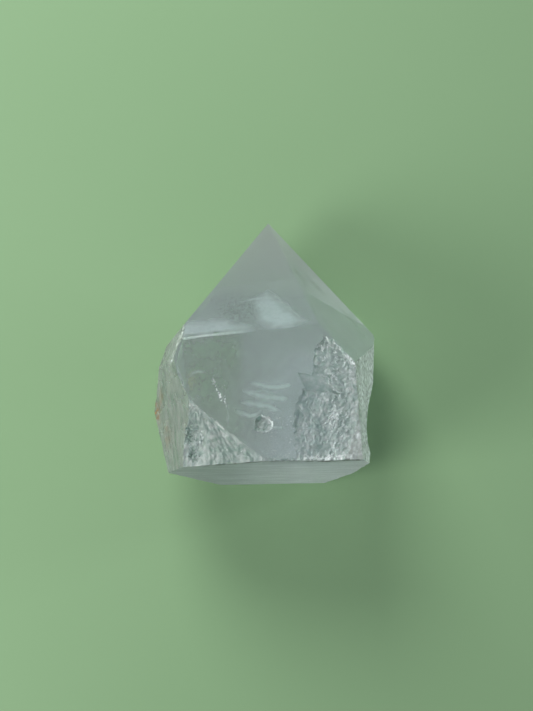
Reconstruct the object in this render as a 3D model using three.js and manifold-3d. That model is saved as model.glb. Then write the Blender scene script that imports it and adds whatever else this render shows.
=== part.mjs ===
// Clear quartz point: one natural crystal with a polished tip, broken sides and a sawn base.
// It lies on its back on a flat prism face. Millimetres and degrees, +Z up, tip towards +Y.
// The origin is under the middle of the crystal, on the surface it rests on.

import * as THREE from 'three';
import { mergeVertices } from 'three/addons/utils/BufferGeometryUtils.js';
import Module from 'manifold-3d';

const wasm = await Module();
wasm.setup();

// Driving dimensions.
const THICKNESS = 38;                       // resting face to the upper prism face
const BASE_Y = -32.4;                       // the sawn base, where it crosses the crystal's middle
const TIP = [0.3, 32.8, 13];
const UPPER_LEFT_SHOULDER = [-18.8, -1, 35.2];
const UPPER_RIGHT_SHOULDER = [19.5, -11, THICKNESS];
const RIGHT_SHOULDER = [27.1, 3.5, 9.9];
const LEFT_FLANK = [-27.1, -17.8, 19];
const FAN_CORNER = [-0.8, BASE_Y, THICKNESS];
const ROUGH_BLOCK = 120;                    // side of the block that the crystal is cut from

// Flat faces. Each one passes through a point and faces outwards along a bearing, measured from +X
// towards +Y, and a rise above the horizontal.
const FACETS = {
  upperPrism: { through: [0, 0, THICKNESS], bearing: 0, rise: 90 },
  restingPrism: { through: [0, 0, 0], bearing: 0, rise: -90 },
  sawnBase: { through: [0, BASE_Y, 0], bearing: -89, rise: 0 },
  frontPyramid: { through: TIP, bearing: 96.9, rise: 54.6 },
  rightPyramid: { through: TIP, bearing: 40.1, rise: 28.4 },
  lowerRightPyramid: { through: TIP, bearing: 43.9, rise: -17.8 },
  backPyramid: { through: TIP, bearing: 90, rise: -66 },
  lowerLeftPyramid: { through: TIP, bearing: 137.7, rise: -23.1 },
  leftPyramid: { through: TIP, bearing: 142.5, rise: 13.8 },
  rightPrism: { through: UPPER_RIGHT_SHOULDER, bearing: 3.3, rise: 19 },
  rightBevel: { through: RIGHT_SHOULDER, bearing: -1, rise: 8.3 },
  rightFlank: { through: RIGHT_SHOULDER, bearing: -11.6, rise: -8.2 },
  lowerRightFlank: { through: RIGHT_SHOULDER, bearing: -13.9, rise: -18.5 },
  upperLeftBreak: { through: UPPER_LEFT_SHOULDER, bearing: 158.6, rise: 20.5 },
  leftBreak: { through: LEFT_FLANK, bearing: 189.6, rise: 21.8 },
  lowerLeftFlank: { through: LEFT_FLANK, bearing: 200.6, rise: -24.9 },
  lowerLeftBreak: { through: LEFT_FLANK, bearing: 167, rise: -4 },
  hackleFan: { through: FAN_CORNER, bearing: 231, rise: 60 },
};

// Shell-shaped hollows where flakes broke away: an ellipsoid's centre, half axes, turn about Z and
// the height of the ripples on its wall.
const HOLLOWS = {
  upperRightSpall: { centre: [15.1, -10.7, 41.5], half: [8.4, 6.2, 6], turn: -45, ripple: 0.35 },
  lowerRightSpall: { centre: [13.2, -24.3, 44], half: [10.2, 13.2, 8.6], turn: -4, ripple: 0.45 },
  rightBite: { centre: [29.1, -21.4, 29], half: [6, 15, 20], turn: 5, ripple: 0.3 },
  leftHollow: { centre: [-20.9, -20.5, 42], half: [5.6, 5.4, 9], turn: 20, ripple: 0.25 },
  pocket: { centre: [-16.9, -26.7, 35.6], half: [2.4, 2.7, 2.6], turn: 0, ripple: 0.2 },
  cupChip: { centre: [-0.7, -24.1, 38.6], half: [2.1, 2.3, 1.5], turn: 15, ripple: 0.1 },
};
const HOLLOW_SEGMENTS = 40;
const HOLLOW_RINGS = 24;

const QUARTZ_COLOUR = 0xb9c8c2;
const QUARTZ_ROUGHNESS = 0.08;
const QUARTZ_METALNESS = 0;

function directionOf(bearing, rise) {
  const azimuth = THREE.MathUtils.degToRad(bearing);
  const elevation = THREE.MathUtils.degToRad(rise);
  const level = Math.cos(elevation);
  return new THREE.Vector3(level * Math.cos(azimuth), level * Math.sin(azimuth), Math.sin(elevation));
}

function solidOf(geometry) {
  geometry.deleteAttribute('normal');
  geometry.deleteAttribute('uv');
  const merged = mergeVertices(geometry, 1e-4);
  return new wasm.Manifold(new wasm.Mesh({
    numProp: 3,
    vertProperties: new Float32Array(merged.attributes.position.array),
    triVerts: new Uint32Array(merged.index.array),
  }));
}

// The waste beyond one facet: a block whose near face lies on the facet.
function wasteBeyond({ through, bearing, rise }) {
  const outward = directionOf(bearing, rise);
  const block = new THREE.BoxGeometry(2 * ROUGH_BLOCK, 2 * ROUGH_BLOCK, ROUGH_BLOCK);
  const turn = new THREE.Quaternion().setFromUnitVectors(new THREE.Vector3(0, 0, 1), outward);
  const centre = new THREE.Vector3(...through).addScaledVector(outward, ROUGH_BLOCK / 2);
  block.applyQuaternion(turn);
  block.translate(centre.x, centre.y, centre.z);
  return solidOf(block);
}

// Height of a broken wall's ripples at a point: ribs of three lengths that cross each other.
function rippleAt(point) {
  const broad = Math.sin(0.9 * point.x + 0.7 * point.y - 0.4 * point.z);
  const middle = Math.sin(1.9 * point.y - 1.3 * point.x + 0.8 * point.z + 1.1);
  const fine = Math.sin(3.1 * point.x + 2.3 * point.z - 1.7 * point.y + 2.3);
  return 0.5 * broad + 0.3 * middle + 0.2 * fine;
}

function hollowSolid({ centre, half, turn, ripple }) {
  const ball = new THREE.SphereGeometry(1, HOLLOW_SEGMENTS, HOLLOW_RINGS);
  const spin = new THREE.Matrix4().makeRotationZ(THREE.MathUtils.degToRad(turn));
  const position = ball.attributes.position;
  const point = new THREE.Vector3();
  for (let i = 0; i < position.count; i += 1) {
    point.fromBufferAttribute(position, i);
    const outward = point.clone();
    point.multiply(new THREE.Vector3(...half));
    point.addScaledVector(outward, ripple * rippleAt(point));
    point.applyMatrix4(spin);
    position.setXYZ(i, point.x + centre[0], point.y + centre[1], point.z + centre[2]);
  }
  return solidOf(ball);
}

function crystalGeometry() {
  let crystal = solidOf(new THREE.BoxGeometry(ROUGH_BLOCK, ROUGH_BLOCK, ROUGH_BLOCK));
  for (const facet of Object.values(FACETS)) {
    crystal = crystal.subtract(wasteBeyond(facet));
  }
  for (const hollow of Object.values(HOLLOWS)) {
    crystal = crystal.subtract(hollowSolid(hollow));
  }
  const { vertProperties, triVerts } = crystal.getMesh();
  const geometry = new THREE.BufferGeometry();
  geometry.setAttribute('position', new THREE.BufferAttribute(vertProperties, 3));
  geometry.setIndex(new THREE.BufferAttribute(triVerts, 1));
  geometry.computeVertexNormals();
  return geometry;
}

function crystalMesh() {
  const quartz = new THREE.MeshStandardMaterial({
    color: QUARTZ_COLOUR,
    roughness: QUARTZ_ROUGHNESS,
    metalness: QUARTZ_METALNESS,
  });
  const mesh = new THREE.Mesh(crystalGeometry(), quartz);
  mesh.name = 'crystal';
  return mesh;
}

const quartzPoint = new THREE.Group();
quartzPoint.add(crystalMesh());

export default quartzPoint;
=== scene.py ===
"""Clear quartz point: a polished tip, broken sides and a sawn base, lying on its back on a pale floor.

The crystal is cut from the same facets as its CAD solid. Dense cutters then give every break its own
scallops and ridges, and the veils, fracture ripples and glints sealed inside are sheets and flakes of
their own. Lengths are millimetres until a mesh is handed over in metres.
"""

import math
import random

import bmesh
import bpy
import numpy as np
from mathutils import Matrix, Vector, noise as solid_noise

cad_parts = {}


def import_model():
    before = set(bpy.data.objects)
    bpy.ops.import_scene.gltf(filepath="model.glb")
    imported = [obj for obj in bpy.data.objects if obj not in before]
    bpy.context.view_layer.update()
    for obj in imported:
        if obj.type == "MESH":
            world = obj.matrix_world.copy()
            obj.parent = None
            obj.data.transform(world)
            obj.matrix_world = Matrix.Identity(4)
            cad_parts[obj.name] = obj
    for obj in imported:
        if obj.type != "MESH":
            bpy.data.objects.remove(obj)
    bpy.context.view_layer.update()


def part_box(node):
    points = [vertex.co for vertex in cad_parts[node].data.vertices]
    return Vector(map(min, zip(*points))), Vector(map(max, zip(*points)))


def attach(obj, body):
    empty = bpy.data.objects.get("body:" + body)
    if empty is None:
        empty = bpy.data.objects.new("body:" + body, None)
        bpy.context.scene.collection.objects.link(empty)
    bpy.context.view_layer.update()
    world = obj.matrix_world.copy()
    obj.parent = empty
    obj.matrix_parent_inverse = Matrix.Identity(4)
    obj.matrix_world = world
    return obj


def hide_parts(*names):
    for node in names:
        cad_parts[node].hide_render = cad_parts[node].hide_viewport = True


MM = 0.001
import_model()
NODE_LOW, NODE_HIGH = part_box("crystal")
THICKNESS = NODE_HIGH.z / MM
TIP_Y = NODE_HIGH.y / MM
RIGHT_X = NODE_HIGH.x / MM
LEFT_X = NODE_LOW.x / MM
BASE_Y = -32.4  # the sawn base, where it crosses the crystal's middle

# Facets: a point on each, its bearing from +X towards +Y, and its rise above the horizontal.
TIP = (0.3, TIP_Y, 13)
UPPER_LEFT_SHOULDER = (-18.8, -1, 35.2)
UPPER_RIGHT_SHOULDER = (19.5, -11, THICKNESS)
RIGHT_SHOULDER = (RIGHT_X, 3.5, 9.9)
LEFT_FLANK = (LEFT_X, -17.8, 19)
FAN_CORNER = (-0.8, BASE_Y, THICKNESS)
FACETS = {
    "upper_prism": ((0, 0, THICKNESS), 0, 90),
    "resting_prism": ((0, 0, 0), 0, -90),
    "sawn_base": ((0, BASE_Y, 0), -89, 0),
    "front_pyramid": (TIP, 96.9, 54.6),
    "right_pyramid": (TIP, 40.1, 28.4),
    "lower_right_pyramid": (TIP, 43.9, -17.8),
    "back_pyramid": (TIP, 90, -66),
    "lower_left_pyramid": (TIP, 137.7, -23.1),
    "left_pyramid": (TIP, 142.5, 13.8),
    "right_prism": (UPPER_RIGHT_SHOULDER, 3.3, 19),
    "right_bevel": (RIGHT_SHOULDER, -1, 8.3),
    "right_flank": (RIGHT_SHOULDER, -11.6, -8.2),
    "lower_right_flank": (RIGHT_SHOULDER, -13.9, -18.5),
    "upper_left_break": (UPPER_LEFT_SHOULDER, 158.6, 20.5),
    "left_break": (LEFT_FLANK, 189.6, 21.8),
    "lower_left_flank": (LEFT_FLANK, 200.6, -24.9),
    "lower_left_break": (LEFT_FLANK, 167, -4),
    "hackle_fan": (FAN_CORNER, 231, 60),
}
ROUGH_BLOCK = 120.0  # side of the block that the crystal is cut from
EDGE_WEAR = 0.12
WELD = 0.001

# Kinds of surface, in the order of the cutters' material indices.
POLISHED, BROKEN, SAWN, GROWN, WEATHERED = 0, 1, 2, 3, 4


# Patterns over a plane, for whole arrays of points at once. Where one is called, the numbers that divide
# the coordinates are the sizes of its features in millimetres, and the last number is its seed.
SCATTER = (127.1, 311.7, 74.7)  # multipliers that make neighbouring lattice corners unalike
SCATTER_GAIN = 43758.5453
NOISE_GAIN = 1.5


def lattice(ix, iy, seed):
    """A repeatable pseudo-random angle for each lattice corner."""
    value = np.sin(ix * SCATTER[0] + iy * SCATTER[1] + seed * SCATTER[2]) * SCATTER_GAIN
    return (value - np.floor(value)) * 2 * math.pi


def ease(t):
    """0 to 1 with no kink at either end."""
    return t**3 * (t * (t * 6 - 15) + 10)


def noise(x, y, seed=0):
    """Gradient noise, about -1 to 1."""
    ix, iy = np.floor(x), np.floor(y)
    fx, fy = x - ix, y - iy
    total = 0.0
    for dx in (0, 1):
        for dy in (0, 1):
            angle = lattice(ix + dx, iy + dy, seed)
            slope = np.cos(angle) * (fx - dx) + np.sin(angle) * (fy - dy)
            wx = 1 - np.abs(fx - dx)
            wy = 1 - np.abs(fy - dy)
            total = total + slope * ease(wx) * ease(wy)
    return total * NOISE_GAIN


def fractal(x, y, octaves, seed=0):
    """Octaves of noise, each half the size and half the height of the last."""
    return sum(noise(x * 2**k, y * 2**k, seed + 17 * k) / 2**k for k in range(octaves))


BOWL_STRAY = 0.4  # how far a bowl's middle may be from the middle of its square
BOWL_TILT = 0.45
BOWL_DROP = 0.06
BOWL_CREST, BOWL_FLOOR, BOWL_DEEPEST = -0.35, 0.4, 1.2


def scallops(x, y, seed=0):
    """Tilted bowls, one to a unit square, that meet in sharp crests: 1 in a bowl's floor, 0 on a crest."""
    ix, iy = np.floor(x), np.floor(y)
    deepest = np.full(np.shape(x), -10.0)
    for dx in (-1, 0, 1):
        for dy in (-1, 0, 1):
            cx, cy = ix + dx, iy + dy
            place = lattice(cx, cy, seed)
            lean = lattice(cx, cy, seed + 5)
            px = x - cx - 0.5 - BOWL_STRAY * np.cos(place)
            py = y - cy - 0.5 - BOWL_STRAY * np.sin(place)
            tilt = BOWL_TILT * (px * np.cos(lean) + py * np.sin(lean))
            drop = BOWL_DROP * lattice(cx, cy, seed + 9)
            deepest = np.maximum(deepest, drop + tilt - px * px - py * py)
    return np.clip((deepest - BOWL_CREST) / (BOWL_FLOOR - BOWL_CREST), 0, BOWL_DEEPEST)


def smooth(low, high, value):
    """0 at low to 1 at high, eased at both ends; low may be the larger."""
    t = np.clip((value - low) / (high - low), 0, 1)
    return t * t * (3 - 2 * t)


def inside(x, y, outline):
    """How far each point lies inside a convex outline; negative outside it."""
    points = np.array(outline, float)
    ahead = np.roll(points, -1, axis=0)
    area = np.sum(points[:, 0] * ahead[:, 1] - ahead[:, 0] * points[:, 1])
    depth = np.full(np.shape(x), 1e9)
    for (ax, ay), (bx, by) in zip(points, ahead):
        length = math.hypot(bx - ax, by - ay)
        side = ((bx - ax) * (y - ay) - (by - ay) * (x - ax)) / length
        depth = np.minimum(depth, side * math.copysign(1, area))
    return depth


def along(x, y, path):
    """Distance to a path of points, and how far along it the nearest place is, 0 to 1."""
    points = np.array(path, float)
    lengths = np.hypot(*(points[1:] - points[:-1]).T)
    reached = np.concatenate([[0], np.cumsum(lengths)]) / lengths.sum()
    nearest = np.full(np.shape(x), 1e9)
    place = np.zeros(np.shape(x))
    for k, (a, b) in enumerate(zip(points[:-1], points[1:])):
        t = np.clip(((x - a[0]) * (b[0] - a[0]) + (y - a[1]) * (b[1] - a[1])) / lengths[k] ** 2, 0, 1)
        gap = np.hypot(x - a[0] - t * (b[0] - a[0]), y - a[1] - t * (b[1] - a[1]))
        closer = gap < nearest
        nearest = np.where(closer, gap, nearest)
        place = np.where(closer, reached[k] + t * (reached[k + 1] - reached[k]), place)
    return nearest, place


def bell(distance, width):
    """1 at no distance, falling softly away over a width."""
    return np.exp(-((distance / width) ** 2))


def spot(x, y, centre_x, centre_y, reach_x, reach_y):
    """1 at a centre, falling softly away over a reach each way."""
    return np.exp(-(((x - centre_x) / reach_x) ** 2) - ((y - centre_y) / reach_y) ** 2)


def spots(x, y, rows):
    """The sum of soft spots: each row is a centre, a reach each way and a strength."""
    return sum(strength * spot(x, y, *place) for *place, strength in rows)


# Meshes.
NEARLY_LEVEL = 0.999
CUTTER_REACH = 25.0
PIT_GRAIN = 3.4
PIT_FRACTAL = (0.8, 2.1, 4)  # dimension, lacunarity and octaves
CREASE_ANGLE = 38


def direction(bearing, rise):
    """The unit vector at a bearing and rise in degrees."""
    azimuth, elevation = math.radians(bearing), math.radians(rise)
    level = math.cos(elevation)
    return Vector((level * math.cos(azimuth), level * math.sin(azimuth), math.sin(elevation)))


def facet_axes(outward):
    """Two unit vectors that span a facet: across, level where it can be, and up the slope."""
    if abs(outward.z) > NEARLY_LEVEL:
        across = Vector((1, 0, 0))
    else:
        across = Vector((-outward.y, outward.x, 0)).normalized()
    return across, outward.cross(across)


def facet_grid(facet, spans, step):
    """A grid over a facet: its two coordinates, the points of it, and the facet's outward direction."""
    through, bearing, rise = FACETS[facet]
    outward = direction(bearing, rise)
    across, up = facet_axes(outward)
    (u0, u1), (v0, v1) = spans
    grid_u, grid_v = np.meshgrid(np.arange(u0, u1 + step / 2, step), np.arange(v0, v1 + step / 2, step))
    flat = np.array(through) + grid_u[..., None] * np.array(across) + grid_v[..., None] * np.array(up)
    return grid_u, grid_v, flat, np.array(outward)


def grid_quads(rows, columns):
    """A grid's vertex numbers, laid out as it is, and its four-sided faces."""
    index = np.arange(rows * columns).reshape(rows, columns)
    quads = np.stack([index[:-1, :-1], index[1:, :-1], index[1:, 1:], index[:-1, 1:]], axis=-1)
    return index, quads.reshape(-1, 4)


def new_object(name, mesh):
    obj = bpy.data.objects.new(name, mesh)
    bpy.context.scene.collection.objects.link(obj)
    return obj


def mesh_object(name, vertices, faces):
    mesh = bpy.data.meshes.new(name)
    mesh.from_pydata([tuple(v) for v in vertices], [], faces)
    mesh.update()
    return new_object(name, mesh)


def to_metres(obj):
    obj.data.transform(Matrix.Scale(MM, 4))
    return obj


def from_bmesh(name, bm):
    mesh = bpy.data.meshes.new(name)
    bm.to_mesh(mesh)
    bm.free()
    return new_object(name, mesh)


def faceted_body():
    """The crystal as its flat facets leave it, with the edges very slightly worn."""
    bm = bmesh.new()
    bmesh.ops.create_cube(bm, size=ROUGH_BLOCK)
    for through, bearing, rise in FACETS.values():
        geometry = bm.verts[:] + bm.edges[:] + bm.faces[:]
        cut = bmesh.ops.bisect_plane(
            bm, geom=geometry, plane_co=through, plane_no=direction(bearing, rise), clear_outer=True
        )
        rim = [g for g in cut["geom_cut"] if isinstance(g, bmesh.types.BMEdge)]
        bmesh.ops.edgeloop_fill(bm, edges=rim)
    bmesh.ops.remove_doubles(bm, verts=bm.verts[:], dist=WELD)
    bmesh.ops.bevel(
        bm, geom=bm.edges[:], offset=EDGE_WEAR, offset_type="OFFSET", segments=2, profile=0.5, affect="EDGES"
    )
    bmesh.ops.recalc_face_normals(bm, faces=bm.faces[:])
    return from_bmesh("crystal_body", bm)


def fracture_cutter(facet, spans, step, height, kind):
    """A block beyond a facet whose near face is a dense sheet, sunk by height(u, v, x, y, z)."""
    grid_u, grid_v, flat, outward = facet_grid(facet, spans, step)
    near = flat - height(grid_u, grid_v, *np.moveaxis(flat, -1, 0))[..., None] * outward
    far = flat + CUTTER_REACH * outward
    rows, columns = grid_u.shape
    index, quads = grid_quads(rows, columns)
    count = rows * columns
    corners = [0, columns - 1, count - 1, count - columns]
    vertices = np.concatenate([near.reshape(-1, 3), far.reshape(-1, 3)[corners]])
    back = [count + k for k in range(4)]
    sides = [index[0], index[:, -1], index[-1, ::-1], index[::-1, 0]]
    faces = [*quads.tolist(), back]
    for k, side in enumerate(sides):
        faces.append([*side.tolist(), back[(k + 1) % 4], back[k]])
    cutter = mesh_object("cut_" + facet, vertices, faces)
    cutter.data.polygons.foreach_set("material_index", [kind] * len(faces))
    return cutter


def pit_cutter(centre, half, crag, seed):
    """A craggy ball that leaves a small drusy hollow."""
    bm = bmesh.new()
    bmesh.ops.create_icosphere(bm, subdivisions=5, radius=1)
    for vertex in bm.verts:
        ray = vertex.co.normalized()
        rough = solid_noise.fractal(ray * PIT_GRAIN + Vector((seed, 0, 0)), *PIT_FRACTAL)
        size = 1 + crag * rough
        vertex.co = Vector(centre) + Vector([r * h * size for r, h in zip(ray, half)])
    for face in bm.faces:
        face.material_index = BROKEN
    return from_bmesh("cut_pit", bm)


def cut_away(body, cutters):
    """The body's mesh less its cutters; faces that a cutter leaves carry its material index."""
    for cutter in cutters:
        boolean = body.modifiers.new(cutter.name, "BOOLEAN")
        boolean.operation = "DIFFERENCE"
        boolean.solver = "MANIFOLD"
        boolean.material_mode = "INDEX"
        boolean.object = cutter
    depsgraph = bpy.context.evaluated_depsgraph_get()
    mesh = bpy.data.meshes.new_from_object(body.evaluated_get(depsgraph))
    for obj in [body, *cutters]:
        bpy.data.objects.remove(obj)
    return mesh


# Breaks. Each height is in millimetres below its facet, at a point given both by its place on the facet
# (u, v) and in the row frame (x, y, z).
UNCUT = -0.2  # a height that leaves the facet as it is
SHALLOWEST = 0.02  # the least height inside a break, so that it stays cut all over

FOLD_SHARPNESS = 1.6
CREASE_SIZE, FLAKE_SIZE, GRIT_SIZE = 2.0, 0.8, 0.42
STROKE_WOBBLE = 0.7
COARSE_STROKE, FINE_STROKE = (1.9, 0.85), (0.9, 0.40)  # length and width
FLUTE_WOBBLE = 0.8
WIDE_FLUTE, FINE_FLUTE = (8, 1.9), (4, 0.75)  # length and width


def folds(x, y, seed):
    """Creases like those of crumpled foil at three sizes, about 0 to 1."""
    total = 0.0
    shares = [1, 1 / 2, 1 / 4]
    for k, share in enumerate(shares):
        total = total + share * (1 - FOLD_SHARPNESS * np.abs(noise(x * 2**k, y * 2**k, seed + 3 * k)))
    return np.clip(total / sum(shares), 0, 1)


def crags(x, y, seed):
    """Fracture texture, 0 to about 1: creases, flakes between them and grit on both."""
    wx = x + 0.3 * noise(x / 1.3, y / 1.3, seed + 1)
    wy = y + 0.3 * noise(x / 1.3, y / 1.3, seed + 2)
    creases = folds(wx / CREASE_SIZE, wy / CREASE_SIZE, seed + 3)
    flakes = scallops(wx / FLAKE_SIZE, wy / FLAKE_SIZE, seed + 4)
    grit = scallops(wx / GRIT_SIZE, wy / GRIT_SIZE, seed + 5)
    return 0.5 * creases + 0.3 * flakes + 0.2 * grit


def strokes(x, y, bearing, seed):
    """Narrow flakes drawn out along a bearing in degrees, 0 to about 1."""
    turn = math.radians(bearing)
    length = x * math.cos(turn) + y * math.sin(turn)
    width = y * math.cos(turn) - x * math.sin(turn)
    width = width + STROKE_WOBBLE * noise(length / 2.0, width / 2.0, seed)
    coarse = scallops(length / COARSE_STROKE[0], width / COARSE_STROKE[1], seed + 1)
    fine = scallops(length / FINE_STROKE[0], width / FINE_STROKE[1], seed + 2)
    return 0.5 * coarse + 0.5 * fine


def streaks(length, width, seed):
    """Long narrow flutes, 0 to about 1."""
    bent = width + FLUTE_WOBBLE * noise(length / 9, width / 6, seed)
    wide = scallops(length / WIDE_FLUTE[0], bent / WIDE_FLUTE[1], seed + 1)
    fine = scallops(length / FINE_FLUTE[0], bent / FINE_FLUTE[1], seed + 2)
    return 0.6 * wide + 0.4 * fine


SCOOP_DEPTH = 1.7


def left_break_height(u, v, x, y, z):
    """Long flutes, and a scoop out of the upper edge."""
    scoop = smooth(-10.6, -20.5, y) * (1 - 0.6 * smooth(-22.0, -31.0, y)) * smooth(-24.5, -18.5, x)
    texture = 0.3 * streaks(u, v, 11) + 0.1 * crags(u / 1.5, v, 13)
    return 0.03 + 0.12 * (1 + noise(u / 11, v / 7, 5)) + texture + SCOOP_DEPTH * scoop


def upper_left_height(u, v, x, y, z):
    return 0.04 + 0.1 * (1 + noise(u / 6, v / 5, 21)) + 0.3 * crags(u / 1.6, v, 23)


UPPER_LOBE = [
    (12.6, -4.4), (14.2, -5.2), (18.0, -8.4), (21.4, -12.6), (21.8, -18.4), (17.6, -19.6), (13.0, -19.2),
    (10.2, -16.4), (9.9, -12.2), (10.5, -7.6),
]
LOWER_LOBE = [
    (7.4, -16.4), (12.0, -15.6), (17.0, -16.4), (20.8, -17.4), (20.4, -20.0), (19.2, -25.5), (17.8, -30.4),
    (16.4, -34.5), (7.2, -34.5), (5.9, -29.0), (5.7, -23.2),
]
MARGIN = [(20.2, -18.0), (22.5, -18.0), (22.5, -34.0), (15.5, -34.0), (17.0, -30.0)]
LEDGE = [(6.7, -12.8), (12.6, -13.8), (15.6, -17.6), (8.4, -16.6)]
PATCH_TEXTURE, PATCH_BOWLS = 0.7, 0.8


def hollowed(depth, run, into):
    """A bowl's depth at a distance in from its rim: steepest at the rim, and level further in than run."""
    return depth * (1 - np.exp(-np.clip(into, 0, None) / run))


def patch_height(u, v, x, y, z):
    """The bright broken patch on the upper face: two rough lobes with a smooth ledge between them."""
    wx = x + 0.4 * fractal(x / 1.4, y / 1.4, 3, 41)
    wy = y + 0.4 * fractal(x / 1.4, y / 1.4, 3, 43)
    rightwards = smooth(9, 14, x)
    ledge = inside(x + 1.5 * rightwards * (wx - x), y + 1.5 * rightwards * (wy - y), LEDGE)
    bowls = PATCH_BOWLS * scallops(wx / 4.2, wy / 4.2, 53) * smooth(-3.5, -9.0, y)
    grit = scallops(wx / 0.6, wy / 0.6, 54)
    upper = 0.4 * crags(x, y, 47) + 0.4 * strokes(x, y, -58, 48) + 0.2 * grit
    swept_right = rightwards * strokes(x, y, 58, 49)
    swept_left = (1 - rightwards) * strokes(x, y, 98, 51)
    lower = 0.6 * (swept_right + swept_left) + 0.25 * crags(x, y, 50) + 0.15 * grit
    from_top, _ = along(x, y, LEDGE[:2])
    ledge_depth = 0.22 + 0.17 * from_top + 0.04 * noise(x / 2, y / 2, 51)
    depth = np.where(ledge > 0, ledge_depth, UNCUT)
    for outline, deepest, run, texture in ((UPPER_LOBE, 0.4, 1.2, upper), (LOWER_LOBE, 0.55, 1.4, lower)):
        into = np.minimum(inside(wx, wy, outline), -ledge)
        relief = PATCH_TEXTURE * (texture - 0.5) + bowls
        lobe = np.maximum(hollowed(deepest, run, into) + smooth(0, 0.6, into) * relief, SHALLOWEST)
        depth = np.where(into > 0, np.maximum(depth, lobe), depth)
    return depth


def margin_height(u, v, x, y, z):
    """The dull strip between the broken patch and the right-hand edge."""
    into = inside(x + 0.3 * noise(x / 1.5, y / 1.5, 55), y, MARGIN)
    return np.where(into > 0, 0.04 + 0.12 * smooth(0, 1, into) + 0.1 * streaks(y, x, 56), UNCUT)


POCKET = (-16.6, -27.0, 2.6, 3.4)  # centre and reach each way
FAN_TOP = (-15.2, -19.6)
FAN_KNOB = (-11.8, -26.9)
FAN_BAND_X = -13.4
WIDE_HACKLE, FINE_HACKLE = (8, 5), (3.2, 1.8)  # degrees across, and millimetres long
HACKLE_RELIEF, FAN_CRAGS = 0.4, 0.24


def fan_height(u, v, x, y, z):
    """Hackle ridges that spread from the top of the fan to the base, round a smooth band and a knob."""
    dx, dy = x - FAN_TOP[0], y - FAN_TOP[1]
    radius = np.hypot(dx, dy) + 0.01
    angle = np.degrees(np.arctan2(dx, -dy)) + 2.5 * noise(x / 5, y / 5, 61)
    wide = scallops(angle / WIDE_HACKLE[0], radius / WIDE_HACKLE[1], 63)
    fine = scallops(angle / FINE_HACKLE[0], radius / FINE_HACKLE[1], 65)
    ridges = 0.45 * wide + 0.55 * fine
    band = smooth(1.0, 0.4, np.abs(x - FAN_BAND_X)) * smooth(-25.0, -26.5, y)
    knob = np.exp(-((x - FAN_KNOB[0]) ** 2 + (y - FAN_KNOB[1]) ** 2) / 0.7)
    texture = (HACKLE_RELIEF * ridges + FAN_CRAGS * crags(x, y, 67)) * (1 - 0.85 * band)
    cx, cy, rx, ry = POCKET
    pocket = smooth(1.25, 0.75, np.hypot((x - cx) / rx, (y - cy) / ry))
    texture = texture + pocket * (0.3 + 0.8 * (crags(x * 1.3, y * 1.3, 68) - 0.4))
    relief = texture + 0.15 * noise(x / 4, y / 4, 69) + 0.25 * band - 0.4 * knob
    return np.maximum(0.03 + (0.5 + 0.5 * smooth(0, -1.0, v)) * relief, SHALLOWEST)


def prism_height(u, v, x, y, z):
    """The right-hand prism face: fine flutes along it."""
    return 0.06 + 0.15 * streaks(u, v, 71) + 0.1 * (1 + noise(u / 6, v / 6, 75))


def flank_height(u, v, x, y, z):
    """A plain rough break."""
    return 0.05 + 0.15 * (1 + noise(u / 9, v / 9, 83)) + 0.6 * crags(u / 2, v / 2, 81)


BITE = (-20, 29, 10.5, 16)  # centre and reach, along y and z
BITE_DEPTH = 1.8


def bite_height(u, v, x, y, z):
    """A wide shallow bite out of the right side."""
    cy, cz, ry, rz = BITE
    bowl = 1 - ((y - cy) / ry) ** 2 - ((z - cz) / rz) ** 2
    return 0.05 + BITE_DEPTH * np.maximum(bowl, 0) + 0.3 * streaks(u, v, 85)


def saw_height(u, v, x, y, z):
    """Level saw marks, a few millimetres apart."""
    wave = v + 0.5 * noise(u / 15, v / 8, 90)
    marks = 0.05 * noise(u / 20, wave / 2.4, 91) + 0.03 * noise(u / 8, wave / 1.1, 93)
    return 0.10 + marks


def resting_height(u, v, x, y, z):
    """The lower face as it grew: low hillocks, clear of the floor between them."""
    return 0.2 + 0.12 * noise(u / 3.5, v / 5, 95) + 0.05 * noise(u / 1.2, v / 1.6, 97)


def grown_height(u, v, x, y, z):
    """A hidden tip face: polished less finely than the upper ones."""
    return 0.04 + 0.012 * noise(u / 6, v / 6, 99)


CUP = [
    (-1.1, -21.9), (0.6, -22.6), (1.3, -23.6), (1.4, -25.2), (0.2, -26.1), (-1.6, -26.2), (-2.9, -25.7),
    (-2.5, -23.2),
]
CUP_ROOF = [(-1.2, -22.3), (0.2, -23.0), (1.0, -23.9)]
CUP_DEPTH = 0.5
CUP_RIDGE, CUP_RIDGE_WIDTH = 0.4, 0.2


def cup_height(u, v, x, y, z):
    """The small cup-shaped chip in the middle of the upper face, with a ridge under its top."""
    into = inside(x + 0.12 * noise(x, y, 101), y + 0.12 * noise(x, y, 103), CUP)
    from_roof, _ = along(x, y, CUP_ROOF)
    ridge = CUP_RIDGE * bell(from_roof, CUP_RIDGE_WIDTH)
    texture = 0.5 * smooth(0, 0.6, into) * crags(x * 1.4, y * 1.4, 105)
    depth = hollowed(CUP_DEPTH, 0.3, into) + texture - ridge
    return np.where(into > 0, np.maximum(depth, SHALLOWEST), UNCUT)


# Each nick's centre and radius.
NICKS = [
    (-12.0, -14.3, 0.42), (-11.7, -15.0, 0.50), (-11.3, -15.8, 0.30), (-11.1, -16.5, 0.38),
    (-10.7, -17.2, 0.34), (-10.4, -17.9, 0.46), (-10.0, -18.7, 0.42), (-9.2, -18.5, 0.36),
    (-9.3, -19.5, 0.34), (-8.9, -20.4, 0.26),
]


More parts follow.
